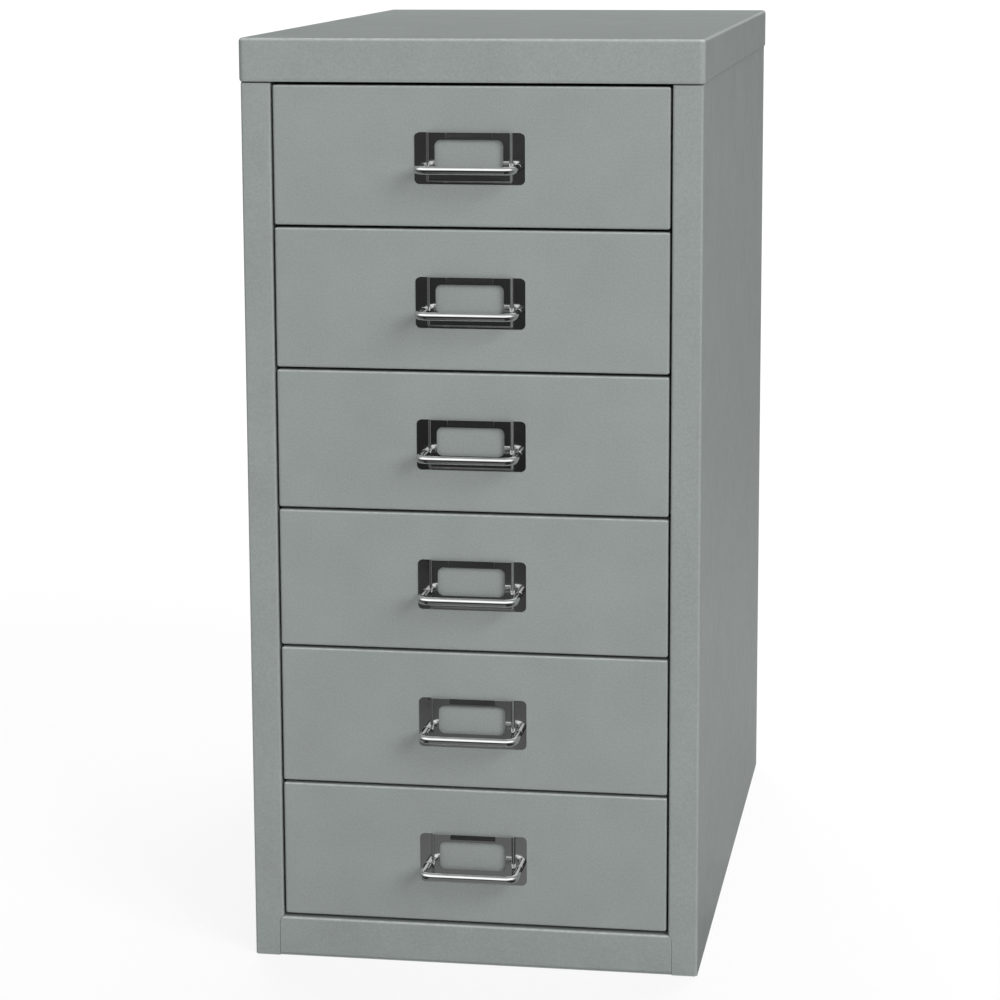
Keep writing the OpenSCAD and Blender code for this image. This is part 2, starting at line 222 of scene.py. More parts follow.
class Nodes:
    """A short way to write a material's node tree."""

    def __init__(self, name):
        self.material = bpy.data.materials.new(name)
        self.material.use_nodes = True
        self.tree = self.material.node_tree
        self.shader = self.tree.nodes["Principled BSDF"]
        self.coords = self.add("ShaderNodeTexCoord")

    def add(self, kind, inputs=None, **settings):
        node = self.tree.nodes.new(kind)
        for key, value in settings.items():
            setattr(node, key, value)
        for key, value in (inputs or {}).items():
            if isinstance(value, bpy.types.NodeSocket):
                self.tree.links.new(value, node.inputs[key])
            else:
                node.inputs[key].default_value = value
        return node

    def noise(self, scale, detail=2.0, roughness=0.5, stretch=(1, 1, 1)):
        """Noise with a number of features a metre, from 0 to 1 around 0.5."""
        place = {"Vector": self.coords.outputs["Object"], "Scale": stretch}
        mapped = self.add("ShaderNodeMapping", place).outputs["Vector"]
        sizes = {"Vector": mapped, "Scale": scale, "Detail": detail, "Roughness": roughness}
        return self.add("ShaderNodeTexNoise", sizes).outputs["Fac"]

    def math(self, operation, a, b=0.0):
        return self.add("ShaderNodeMath", {0: a, 1: b}, operation=operation).outputs[0]

    def span(self, value, low, high, out_low, out_high, smooth=False):
        """Maps value from one range to another and stops at the ends."""
        ends = {"Value": value, "From Min": low, "From Max": high,
                "To Min": out_low, "To Max": out_high}
        kind = "SMOOTHSTEP" if smooth else "LINEAR"
        return self.add("ShaderNodeMapRange", ends, interpolation_type=kind).outputs["Result"]

    def spread(self, noise, out_low, out_high):
        """Maps the whole range of a noise to another."""
        return self.span(noise, LEAST, MOST, out_low, out_high)

    def mix(self, factor, a, b):
        """Mixes two colours."""
        return self.add("ShaderNodeMix", {0: factor, 6: a, 7: b}, data_type="RGBA").outputs[2]

    def bends(self):
        """1 on upper folds and edges, whose normal lies along no axis, and 0 on flat faces."""
        parts = self.add("ShaderNodeSeparateXYZ", {0: self.coords.outputs["Normal"]})
        lengths = [self.math("ABSOLUTE", part) for part in parts.outputs]
        longest = self.math("MAXIMUM", self.math("MAXIMUM", lengths[0], lengths[1]), lengths[2])
        upper = self.span(parts.outputs["Z"], UPPER_STARTS, UPPER_FULL, 0.0, 1.0)
        return self.math("MULTIPLY", self.span(longest, FLAT, ROUND, 0.0, 1.0), upper)

    def bump(self, *layers):
        """Stacks bump layers, each a (height, depth in metres) pair."""
        normal = None
        for height, depth in layers:
            inputs = {"Height": height, "Distance": depth, "Strength": 1.0}
            if normal is not None:
                inputs["Normal"] = normal
            normal = self.add("ShaderNodeBump", inputs).outputs["Normal"]
        self.tree.links.new(normal, self.shader.inputs["Normal"])

    def finish(self, color, roughness, **constants):
        for key, value in (("Base Color", color), ("Roughness", roughness)):
            self.tree.links.new(value, self.shader.inputs[key])
        for key, value in constants.items():
            self.shader.inputs[key.replace("_", " ")].default_value = value
        return self.material


def paint():
    """Satin grey-green powder coat: grain, mottle, painted highlight on smoother upper bends."""
    m = Nodes("grey_powder_coat")
    grain = m.noise(900, detail=3.0, roughness=0.65)
    mottle = m.noise(22, detail=3.0, roughness=0.55)
    tone = m.math("ADD", m.spread(grain, 0.0, 0.72), m.spread(mottle, 0.0, 0.28))
    # Painted highlight: patches of paler colour on upper bends stand in for light from above.
    highlight_share = m.span(m.noise(260), 0.35, 0.65, 0.35, 0.65)
    bends = m.math("MULTIPLY", m.bends(), highlight_share)
    color = m.mix(bends, m.mix(tone, PAINT_DARK, PAINT_LIGHT), PAINT_HIGHLIGHT)
    satin = m.spread(m.noise(120, detail=3.0), 0.36, 0.43)
    rough = m.math("SUBTRACT", satin, m.math("MULTIPLY", bends, 0.12))
    ripples, grit = m.noise(520, detail=1.0), m.noise(2000, roughness=0.6)
    m.bump((ripples, 7e-6), (grit, 4e-6))
    return m.finish(color, rough)


def chrome():
    """Bright plate on pressed steel: the reflections waver a little, with faint wiping marks."""
    m = Nodes("chrome_plate")
    wipes = m.noise(260, detail=4.0, roughness=0.6, stretch=(1, 1, 5))
    stains = m.noise(40, detail=3.0, roughness=0.6)
    color = m.mix(m.span(stains, 0.35, 0.7, 0.0, 1.0), CHROME_CLEAN, CHROME_STAINED)
    rough = m.math("ADD", m.span(wipes, 0.3, 0.75, 0.04, 0.09),
                   m.span(stains, 0.45, 0.8, 0.0, 0.05))
    waves, grit = m.noise(95, detail=1.0), m.noise(900)
    m.bump((waves, 1.2e-5), (grit, 6e-7))
    return m.finish(color, rough, Metallic=1.0)


def zinc():
    """Zinc plate on rolled strip: dull spangles, and drawing lines along Y."""
    m = Nodes("zinc_plate")
    cells = m.add("ShaderNodeTexVoronoi", {"Vector": m.coords.outputs["Object"], "Scale": 170.0})
    lines = m.noise(900, detail=3.0, roughness=0.6, stretch=(1, 0.03, 1))
    spangle = m.add("ShaderNodeSeparateColor", {0: cells.outputs["Color"]}).outputs[0]
    tone = m.math("ADD", m.span(spangle, 0, 1, 0.0, 0.55), m.spread(lines, 0.0, 0.45))
    color = m.mix(tone, ZINC_DARK, ZINC_LIGHT)
    rough = m.math("ADD", m.span(spangle, 0, 1, 0.26, 0.38), m.spread(lines, 0.0, 0.08))
    m.bump((lines, 4e-6), (m.noise(300), 8e-6))
    return m.finish(color, rough, Metallic=1.0)


def rubber():
    """Black moulded rubber with a matt skin and a little dust."""
    m = Nodes("black_rubber")
    dust = m.span(m.noise(500, detail=4.0, roughness=0.7), 0.5, 0.8, 0.0, 0.6)
    color = m.mix(dust, RUBBER_BLACK, RUBBER_DUSTY)
    m.bump((m.noise(1800), 1.2e-5))
    return m.finish(color, m.span(dust, 0.0, 0.6, 0.62, 0.82), Specular_IOR_Level=0.35)


PAINT, CHROME, ZINC, RUBBER = paint(), chrome(), zinc(), rubber()


# ---------------------------------------------------------------- mesh helpers

def quarter(steps, first=0.0):
    """Angles of a quarter turn, in radians, starting at first degrees."""
    return [math.radians(first + 90 * k / steps) for k in range(steps + 1)]


def plate(bm, points, facing):
    """Adds one flat face through the points, turned so that it faces the given way."""
    face = bm.faces.new([bm.verts.new(point) for point in points])
    face.normal_update()
    if face.normal.dot(facing) < 0:
        face.normal_flip()


def rectangle(bm, low, high, facing):
    """A flat rectangle between two corners, which agree in the direction that it faces."""
    corners = [Vector(low), Vector(low), Vector(high), Vector(high)]
    first = next(k for k in range(3) if abs(high[k] - low[k]) > 0 and abs(facing[k]) < 0.5)
    corners[1][first] = high[first]
    corners[3][first] = low[first]
    plate(bm, corners, facing)


def fold(bm, bend):
    """Joins the faces along their shared edges and rounds each fold to the bend radius."""
    bmesh.ops.remove_doubles(bm, verts=bm.verts[:], dist=JOIN)
    shared = [edge for edge in bm.edges if len(edge.link_faces) == 2]
    folds = [edge for edge in shared if edge.calc_face_angle() > FOLD_ANGLE]
    bmesh.ops.bevel(bm, geom=folds, offset=bend, segments=BEND_STEPS, profile=0.5, affect="EDGES")


def cut(bm, point, normal):
    """Adds edges where a plane crosses the mesh."""
    everything = bm.verts[:] + bm.edges[:] + bm.faces[:]
    bmesh.ops.bisect_plane(bm, geom=everything, dist=ON_CUT, plane_co=point, plane_no=normal)


def loft(bm, rings):
    """Skins rings of equally many points and closes the ends."""
    rows = [[bm.verts.new(point) for point in ring] for ring in rings]
    count = len(rows[0])
    for a, b in zip(rows, rows[1:]):
        for k in range(count):
            bm.faces.new((a[k], a[(k + 1) % count], b[(k + 1) % count], b[k]))
    bm.faces.new(rows[0][::-1])
    bm.faces.new(rows[-1])
    bmesh.ops.recalc_face_normals(bm, faces=bm.faces[:])


def round_outline(low, high, radius):
    """A rectangle with round corners in a plane, counter-clockwise from its upper right corner."""
    points = []
    turns = ((high[0], high[1], 0), (low[0], high[1], 90),
             (low[0], low[1], 180), (high[0], low[1], 270))
    for a, b, first in turns:
        centre_a = a - radius if a == high[0] else a + radius
        centre_b = b - radius if b == high[1] else b + radius
        points += [(centre_a + radius * math.cos(t), centre_b + radius * math.sin(t))
                   for t in quarter(CORNER_STEPS, first)]
    return points


def pan(bm, low, high, section, corner, place):
    """Pressed pan, whose section is (distance inwards, depth) pairs from face to edge and back."""
    rings = []
    for inset, depth in section:
        inner_low = low[0] + inset, low[1] + inset
        inner_high = high[0] - inset, high[1] - inset
        outline = round_outline(inner_low, inner_high, max(corner - inset, LEAST_CORNER))
        rings.append([place(a, b, depth) for a, b in outline])
    loft(bm, rings)


def lathe(bm, profile, centre, axis, steps=LATHE_STEPS):
    """Turns (radius, height) pairs about an axis through centre."""
    part = bmesh.new()
    u = axis.orthogonal().normalized()
    v = axis.cross(u)
    angles = [math.tau * k / steps for k in range(steps)]
    spokes = [u * math.cos(a) + v * math.sin(a) for a in angles]
    loft(part, [[centre + axis * height + spoke * radius for spoke in spokes]
                for radius, height in profile])
    merge(bm, part)


def merge(bm, part):
    """Adds a finished part to a mesh and frees it."""
    mesh = bpy.data.meshes.new("part")
    part.to_mesh(mesh)
    part.free()
    bm.from_mesh(mesh)
    bpy.data.meshes.remove(mesh)


def to_object(name, bm):
    """Makes an object in metres from a mesh drawn in millimetres."""
    bmesh.ops.transform(bm, matrix=Matrix.Scale(MM, 4), verts=bm.verts[:])
    mesh = bpy.data.meshes.new(name)
    bm.to_mesh(mesh)
    bm.free()
    obj = bpy.data.objects.new(name, mesh)
    bpy.context.scene.collection.objects.link(obj)
    return obj


def settle(obj):
    """Replaces the mesh by what its modifiers make of it."""
    evaluated = obj.evaluated_get(bpy.context.evaluated_depsgraph_get())
    obj.data = bpy.data.meshes.new_from_object(evaluated)
    obj.modifiers.clear()


def piece(name, bm, material, body, replaced, thickness=0.0, burr=BURR, cutter=None):
    """Gives folded faces their thickness, breaks the edges and hangs the piece on its body."""
    obj = to_object(name, bm)
    if cutter:
        hole = obj.modifiers.new("hole", "BOOLEAN")
        hole.operation = "DIFFERENCE"
        hole.object = cutter
    if thickness:
        shell = obj.modifiers.new("thickness", "SOLIDIFY")
        shell.thickness = thickness * MM
        shell.offset = -1
        shell.use_even_offset = True
    if burr:
        edges = obj.modifiers.new("edges", "BEVEL")
        edges.width = burr * MM
        edges.segments = EDGE_STEPS
        edges.limit_method = "ANGLE"
        edges.angle_limit = math.radians(EDGE_ANGLE)
    normals = obj.modifiers.new("normals", "WEIGHTED_NORMAL")
    normals.keep_sharp = True
    obj.data.shade_smooth()
    settle(obj)
    if cutter:
        bpy.data.objects.remove(cutter)
    obj.data.materials.clear()
    obj.data.materials.append(material)
    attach(obj, body)
    if replaced:
        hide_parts(*replaced)


# ---------------------------------------------------------------- carcass

def top_cap():
    """Pan with rolled edges, whose skirt curls in against the shell along its lower edge."""
    top, bottom, inner = CAP_HIGH.z, CAP_LOW.z, CAP_BEND - SHELL_T
    turn = quarter(BEND_STEPS)
    outer = [(CAP_BEND * (1 - math.sin(a)), top - CAP_BEND * (1 - math.cos(a))) for a in turn]
    hem = [(HEM_IN * (1 - math.cos(a)), bottom + HEM_UP * (1 - math.sin(a))) for a in turn]
    under = [(SHELL_T + inner * (1 - math.cos(a)), top - CAP_BEND + inner * math.sin(a))
             for a in turn]
    bm = bmesh.new()
    pan(bm, CAP_LOW[:2], CAP_HIGH[:2], outer + hem + under, CAP_CORNER, lambda x, y, z: (x, y, z))
    piece("cap_pan", bm, PAINT, CARCASS, ["top_cap"], burr=0)


def side_panel(name, side):
    """Side, front post with its return, and the flanges at top and rear, folded from one sheet."""
    bm = bmesh.new()
    x, top, front, rear = side * BODY_X, SIDE_HIGH.z, SIDE_LOW.y, SIDE_HIGH.y
    post, seam = side * OPEN_X, side * (RAIL_HIGH.x + RAIL_SEAM)
    rail_z = RAIL_HIGH.z - RAIL_GAP
    cut_z, opening_z = rail_z - RAIL_CUT, rail_z + RAIL_SEAM
    return_top = top - SHELL_T
    rectangle(bm, (x, front, 0), (x, rear, top), X * side)
    plate(bm, [(x, front, 0), (seam, front, 0), (seam, front, cut_z), (post, front, opening_z),
               (post, front, return_top), (post, front, top), (x, front, top)], -Y)
    rectangle(bm, (post, front, opening_z), (post, front + POST_RETURN, return_top), -X * side)
    rectangle(bm, (x, rear, 0), (x - side * REAR_FLANGE, rear, top), Y)
    fold(bm, SHELL_BEND)
    groove_z = CAP_LOW.z - GROOVE_H
    for z in (groove_z, groove_z + BURR):
        cut(bm, Z * z, Z)
    for vert in bm.verts:
        from_corner = max(abs(vert.co.x - x), abs(vert.co.y - front))
        if vert.co.z < BURR:
            vert.co.z = FOOT_ROUND * max(0.0, 1 - from_corner / SHELL_BEND)
        if vert.co.z > groove_z + BURR / 2:
            vert.co.y = max(vert.co.y, front + GROOVE_DEPTH)
    flange = bmesh.new()
    outer = (x - side * SHELL_BEND, front + GROOVE_DEPTH + SHELL_BEND, top)
    rectangle(flange, outer, (x - side * TOP_FLANGE, rear - SHELL_BEND, top), Z)
    merge(bm, flange)
    piece(f"{name}_side_folded", bm, PAINT, CARCASS, [f"{name}_side_panel"], SHELL_T)


def base_rail():
    """Front rail with a rolled top edge and cut corners, between the posts."""
    bm = bmesh.new()
    front, low_z, high_z = RAIL_LOW.y, RAIL_LIFT, RAIL_HIGH.z - RAIL_GAP
    side_x, cut_z = RAIL_HIGH.x, high_z - RAIL_CUT
    right_half = [(side_x, low_z), (side_x, cut_z), (OPEN_X, high_z)]
    outline = right_half + [(-x, z) for x, z in reversed(right_half)]
    plate(bm, [(x, front, z) for x, z in outline], -Y)
    rectangle(bm, (-OPEN_X, front, high_z), (OPEN_X, RAIL_HIGH.y, high_z), Z)
    rectangle(bm, (-side_x, front, low_z), (side_x, RAIL_HIGH.y, low_z), -Z)
    fold(bm, RAIL_BEND)
    piece("base_rail_folded", bm, PAINT, CARCASS, ["base_rail"], SHELL_T)


def top_rail():
    """Channel behind the cap's skirt."""
    bm = bmesh.new()
    low, high = TOP_RAIL_LOW, TOP_RAIL_HIGH
    rectangle(bm, (low.x, low.y, low.z), (high.x, low.y, high.z), -Y)
    rectangle(bm, (low.x, low.y, low.z), (high.x, high.y, low.z), -Z)
    rectangle(bm, (low.x, low.y, high.z), (high.x, high.y, high.z), Z)
    fold(bm, SHELL_BEND)
    piece("top_rail_folded", bm, PAINT, CARCASS, ["top_rail"], SHELL_T)


def back_panel():
    """Flat sheet behind the drawers, inside the rear flanges."""
    bm = bmesh.new()
    rectangle(bm, (BACK_LOW.x, BACK_HIGH.y, BACK_LOW.z), BACK_HIGH, Y)
    piece("back_sheet", bm, PAINT, CARCASS, ["back_panel"], SHELL_T)


def base_pan():
    """Floor of the shell with its edges turned up at the sides and the rear."""
    bm = bmesh.new()
    low, high = PAN_LOW, PAN_HIGH
    rectangle(bm, low, (high.x, high.y, low.z), -Z)
    rectangle(bm, (low.x, high.y, low.z), high, Y)
    for x, way in ((low.x, -X), (high.x, X)):
        rectangle(bm, (x, low.y, low.z), (x, high.y, high.z), way)
    fold(bm, TRAY_BEND)
    piece("base_pan_folded", bm, PAINT, CARCASS, ["base_pan"], SHELL_T)


def rear_upright(name, side):
    """Angle that carries the rear ends of the runners."""
    bm = bmesh.new()
    low, high = UPRIGHT_LOW, UPRIGHT_HIGH
    inner, outer = side * low.x, side * high.x
    rectangle(bm, (inner, low.y, low.z), (inner, high.y, high.z), -X * side)
    rectangle(bm, (inner, high.y, low.z), (outer, high.y, high.z), Y)
    fold(bm, TRAY_BEND)
    piece(f"{name}_upright_folded", bm, PAINT, CARCASS, [f"{name}_rear_upright"], SHELL_T)


def weld_marks():
    """Shallow round marks of spot welds along the rear flanges."""
    bm = bmesh.new()
    rows = int((SIDE_HIGH.z - 2 * REAR_FLANGE) // WELD_PITCH)
    first = (SIDE_HIGH.z - rows * WELD_PITCH) / 2
    for _, side in SIDES:
        for row in range(rows + 1):
            centre = Vector((side * (BODY_X - REAR_FLANGE / 2), BODY_Y, first + row * WELD_PITCH))
            lathe(bm, WELD_PROFILE, centre, Y, WELD_STEPS)
    piece("rear_weld_marks", bm, PAINT, CARCASS, [], burr=0)


def runner(name, side, number):
    """Pressed channel whose lips guide the hooked edge of a tray."""
    node = f"{name}_runner_{number}"
    low, high = box(node)
    web, lip = (low.x, high.x) if side < 0 else (high.x, low.x)
    ends = (low.y, SIDE_LOW.y + POST_RETURN + END_GAP, UPRIGHT_LOW.y - END_GAP, high.y)
    bm = bmesh.new()
    for z, way in ((low.z, -Z), (high.z, Z)):
        rectangle(bm, (web, ends[1], z), (lip, ends[2], z), way)
    outline = [(web, y, low.z) for y in ends] + [(web, y, high.z) for y in reversed(ends)]
    plate(bm, outline, X * side)
    fold(bm, TRAY_BEND)
    piece(f"{node}_channel", bm, ZINC, CARCASS, [node], SHELL_T, FINE_BURR)


def moulding(bm, radius, depth, edge, dimple, centre, axis):
    """A short rubber cylinder with a round edge and a dimple in its end."""
    rim = [(radius - edge * (1 - math.cos(a)), depth - edge * (1 - math.sin(a)))
           for a in quarter(MOULD_STEPS)]
    end = [(dimple * DIMPLE_OUT, depth), (dimple, depth - dimple * DIMPLE_SLOPE),
           (AXIS_R, depth - dimple * DIMPLE_DEPTH)]
    lathe(bm, [(AXIS_R, 0), (radius, 0)] + rim + end, centre, axis)


def rubber_parts():
    """Bumpers on the back panel and stops on the lower lips of the runners."""
    bumpers, stops = bmesh.new(), bmesh.new()
    low, high = box("rear_bumpers")
    stop_x, stop_y = STOPS_HIGH.x - STOP_R, (STOPS_LOW.y + STOPS_HIGH.y) / 2
    stop_h = STOPS_HIGH.z - box("left_runner_1")[0].z - SHELL_T
    for number in DRAWERS:
        tray_low, tray_high = box(f"drawer_{number}_tray")
        middle = (tray_low.z + tray_high.z) / 2
        ledge = box(f"left_runner_{number}")[0].z + SHELL_T
        for _, side in SIDES:
            centre = Vector((side * (high.x - BUMPER_R), high.y, middle))
            moulding(bumpers, BUMPER_R, high.y - low.y, BUMPER_EDGE, BUMPER_DIMPLE, centre, -Y)
            centre = Vector((side * stop_x, stop_y, ledge))
            moulding(stops, STOP_R, stop_h, STOP_EDGE, STOP_DIMPLE, centre, Z)
    piece("bumper_mouldings", bumpers, RUBBER, CARCASS, ["rear_bumpers"], burr=0)
    piece("stop_mouldings", stops, RUBBER, CARCASS, ["runner_stops"], burr=0)


def carcass():
    top_cap()
    base_rail()
    top_rail()
    back_panel()
    base_pan()
    weld_marks()
    for name, side in SIDES:
        side_panel(name, side)
        rear_upright(name, side)
        for number in DRAWERS:
            runner(name, side, number)
    rubber_parts()


# ---------------------------------------------------------------- drawers

def drawer_front(number):
    """Shallow pan with rolled edges and small round corners."""
    node = f"drawer_{number}_front"
    low, high = box(node)
    top = high.z - (TOP_GAP if number == 1 else 0)
    inner = FRONT_BEND - TRAY_T
    turn = quarter(BEND_STEPS)
    outer = [(FRONT_BEND * (1 - math.sin(a)), low.y + FRONT_BEND * (1 - math.cos(a)))
             for a in turn]
    rim = [(0.0, high.y - BURR), (BURR, high.y), (TRAY_T - BURR, high.y), (TRAY_T, high.y - BURR)]
    inside = [(TRAY_T + inner * (1 - math.cos(a)), low.y + FRONT_BEND - inner * math.sin(a))
              for a in turn]
    section = outer + rim + inside
    bm = bmesh.new()
    pan(bm, (low.x, low.z), (high.x, top), section, FRONT_CORNER, lambda x, z, y: (x, y, z))
    piece(f"{node}_pan", bm, PAINT, f"drawer_{number}", [node], burr=0)


def tray(number):
    """Box folded from sheet, with a hooked edge and a tongue along each side."""
    node = f"drawer_{number}_tray"
    low, high = box(node)
    wall_x = high.x - HOOK_REACH
    lip_z = high.z - TRAY_T
    hook_y = FRONT_HIGH.y + END_GAP
    tongue_y = STOPS_HIGH.y + TRAVEL + TONGUE_GAP
    bm, tongues = bmesh.new(), bmesh.new()
    rectangle(bm, (-wall_x, low.y, low.z), (wall_x, high.y, low.z), -Z)
    for y, way in ((low.y, -Y), (high.y, Y)):
        rectangle(bm, (-wall_x, y, low.z), (wall_x, y, lip_z), way)
    for _, side in SIDES:
        x, hook = side * wall_x, side * (high.x - TRAY_T)
        corners = ((low.y, low.z), (high.y, low.z), (high.y, lip_z), (hook_y, lip_z),
                   (low.y, lip_z))
        plate(bm, [(x, y, z) for y, z in corners], X * side)
        rectangle(bm, (x, hook_y, lip_z), (hook, high.y, lip_z), -Z)
        rectangle(bm, (hook, hook_y, high.z - HOOK_H), (hook, high.y, lip_z), -X * side)
        rectangle(tongues, (x, tongue_y, high.z - HOOK_H), (hook, tongue_y, lip_z), -Y)
    fold(bm, TRAY_BEND)
    merge(bm, tongues)
    piece(f"{node}_folded", bm, PAINT, f"drawer_{number}", [node], TRAY_T, FINE_BURR)


def smooth_step(value, low, high):
    """0 up to low, 1 from high on, and a smooth rise between them."""
    share = min(1.0, max(0.0, (value - low) / (high - low)))
    return share * share * (3 - 2 * share)


def card_holder(number):
    """Pressed plate with a raised, windowed pocket, and a slit tab that leans back at its top."""
    node = f"drawer_{number}_card_holder"
    low, high = box(node)
    half, height = (high.x - low.x) / 2, high.z - low.z
    window_top = height - WINDOW_DROP
    tab, foot = TAB_W / 2, height - TAB_DEPTH
    outer = round_outline((-half, 0), (half, height), HOLDER_CORNER)
    notch = [(tab + TAB_SLIT, height), (tab + TAB_SLIT, foot), (tab, foot), (tab, height)]
    notches = notch + [(-x, z) for x, z in reversed(notch)]
    first_corner = CORNER_STEPS + 1
    outer = outer[:first_corner] + notches + outer[first_corner:]
    window = round_outline((-WINDOW_W / 2, window_top - WINDOW_H), (WINDOW_W / 2, window_top),
                           WINDOW_R)
    bm = bmesh.new()
    for outline in (outer, window):
        verts = [bm.verts.new((x, 0, z)) for x, z in outline]
        for a, b in zip(verts, verts[1:] + verts[:1]):
            bm.edges.new((a, b))
    bmesh.ops.triangle_fill(bm, use_beauty=True, edges=bm.edges[:], normal=(0, -1, 0))
    pocket_out = half - FLANGE
    pocket_in = pocket_out - STEP
    across = [side * (pocket_in + STEP * k / STEP_CUTS)
              for side in (-1, 1) for k in range(STEP_CUTS + 1)]
    heights = [LIP_LOW + (LIP_HIGH - LIP_LOW) * k / LIP_CUTS for k in range(LIP_CUTS + 1)]
    heights += [foot + TAB_CUT * k for k in range(TAB_CUTS)]
    for x in across:
        cut(bm, X * x, X)
    for z in heights:
        cut(bm, Z * z, Z)
    depth = high.y - low.y - SHEET
    lean = math.tan(math.radians(TAB_TILT))
    for vert in bm.verts:
        x, z = abs(vert.co.x), vert.co.z
        rise = depth * (1 - smooth_step(x, pocket_in, pocket_out))
        rise *= smooth_step(z, LIP_LOW, LIP_HIGH)
        if x < tab + TAB_SLIT / 2:
            rise -= lean * max(0.0, z - foot - TAB_BEND)
        vert.co.y = high.y - SHEET - rise
        vert.co.z = z + low.z
    for face in bm.faces:
        face.normal_update()
        if face.normal.y > 0:
            face.normal_flip()
    body = f"drawer_{number}"
    piece(f"{body}_card_plate", bm, CHROME, body, [node], SHEET, FINE_BURR)


def pull(number):
    """Wire pull bent at both ends, with lightly broken feet."""
    node = f"drawer_{number}_pull"
    low, high = box(node)
    z, arm_x, bar_y = (low.z + high.z) / 2, high.x - PULL_R, low.y + PULL_R
    bend_x, bend_y = arm_x - PULL_BEND, bar_y + PULL_BEND
    right = []
    for a in quarter(PULL_BEND_STEPS, -90):
        x, y = bend_x + PULL_BEND * math.cos(a), bend_y + PULL_BEND * math.sin(a)
        right.append((Vector((x, y, z)), PULL_R))
    right += [(Vector((arm_x, high.y - PULL_FOOT_UP, z)), PULL_R),
              (Vector((arm_x, high.y, z)), PULL_R - PULL_FOOT_IN)]
    line = [(Vector((-point.x, point.y, z)), radius) for point, radius in reversed(right)] + right
    angles = [math.tau * k / PULL_SIDES for k in range(PULL_SIDES)]
    rings = []
    for k, (point, radius) in enumerate(line):
        before, after = line[max(k - 1, 0)][0], line[min(k + 1, len(line) - 1)][0]
        across = (after - before).normalized().cross(Z)
        rings.append([point + (across * math.cos(a) + Z * math.sin(a)) * radius for a in angles])
    bm = bmesh.new()
    loft(bm, rings)
    piece(f"drawer_{number}_wire_pull", bm, CHROME, f"drawer_{number}", [node], burr=0)


def plus_outline(half_width, arm):
    """Twelve corners of a plus whose arms reach out by arm, counter-clockwise."""
    corners = ((arm, -half_width), (arm, half_width), (half_width, half_width))
    turns = ((1, 0), (0, 1), (-1, 0), (0, -1))
    return [(a * c - b * s, a * s + b * c) for c, s in turns for a, b in corners]


def pull_screws(number):
    """Pan-head screws with a cross recess, whose heads lie against the inside of the tray."""
    node = f"drawer_{number}_pull_screws"
    low, high = box(node)
    x, z = high.x - HEAD_R, (low.z + high.z) / 2
    length = high.y - low.y
    crown = [(HEAD_R - CROWN_IN * (1 - math.cos(a)), length - CROWN_UP * (1 - math.sin(a)))
             for a in quarter(CROWN_STEPS)]
    shank = [(SCREW_R - SCREW_TIP, 0), (SCREW_R, SCREW_TIP), (SCREW_R, length - HEAD_H)]
    profile = shank + [(HEAD_R, length - HEAD_H)] + crown
    bm, cross = bmesh.new(), bmesh.new()
    for _, side in SIDES:
        lathe(bm, profile, Vector((side * x, low.y, z)), Y)
        turned = Matrix.Rotation(math.radians(RECESS_TURN * side), 4, "Y")
        placed = Matrix.Translation((side * x, high.y, z)) @ turned
        recess = bmesh.new()
        loft(recess, [[placed @ Vector((a, up, b)) for a, b in plus_outline(half_width, arm)]
                      for up, half_width, arm in RECESS_SECTIONS])
        merge(cross, recess)
    cutter = to_object("cross_recess", cross)
    body = f"drawer_{number}"
    piece(f"{body}_pan_screws", bm, ZINC, body, [node], burr=0, cutter=cutter)


def drawers():
    for number in DRAWERS:
        drawer_front(number)
        tray(number)
        card_holder(number)
        pull(number)
        pull_screws(number)


# ---------------------------------------------------------------- surroundings, lamps and camera

def direction(azimuth, elevation):
    """Unit vector at an azimuth, from -Y towards +X, and an elevation, both in degrees."""
    a, e = math.radians(azimuth), math.radians(elevation)
    return Vector((math.sin(a) * math.cos(e), -math.cos(a) * math.cos(e), math.sin(e)))


def seen(tree):
    """1 for rays of the kinds in SEEN, which meet the studio's own white."""
    paths = tree.nodes.new("ShaderNodeLightPath")
    total = paths.outputs[SEEN[0]]
    for name in SEEN[1:]:
        either = tree.nodes.new("ShaderNodeMath")
        either.operation = "MAXIMUM"
        tree.links.new(total, either.inputs[0])
        tree.links.new(paths.outputs[name], either.inputs[1])
        total = either.outputs[0]
    return total


def world():
    """White surroundings that light the object softly from everywhere."""
    made = bpy.data.worlds.new("studio")
    made.use_nodes = True
    tree = made.node_tree
    background = tree.nodes["Background"]
    background.inputs["Color"].default_value = (1, 1, 1, 1)
    strength = tree.nodes.new("ShaderNodeMapRange")
    tree.links.new(seen(tree), strength.inputs["Value"])
    strength.inputs["To Min"].default_value = WORLD_LIGHT
    strength.inputs["To Max"].default_value = 1.0
    tree.links.new(strength.outputs["Result"], background.inputs["Strength"])
    bpy.context.scene.world = made


def stage_object(name, bm, nodes, surface):
    """Makes a floor or backdrop in metres whose shader is surface."""
    nodes.tree.links.new(surface, nodes.tree.nodes["Material Output"].inputs["Surface"])
    mesh = bpy.data.meshes.new(name)
    bm.to_mesh(mesh)
    bm.free()
    mesh.materials.append(nodes.material)
    obj = bpy.data.objects.new(name, mesh)
    bpy.context.scene.collection.objects.link(obj)
    return obj


def from_middle(nodes):
    """Distance of a point of the floor from the object's middle, in metres."""
    point = {0: nodes.coords.outputs["Object"]}
    return nodes.add("ShaderNodeVectorMath", point, operation="LENGTH").outputs["Value"]


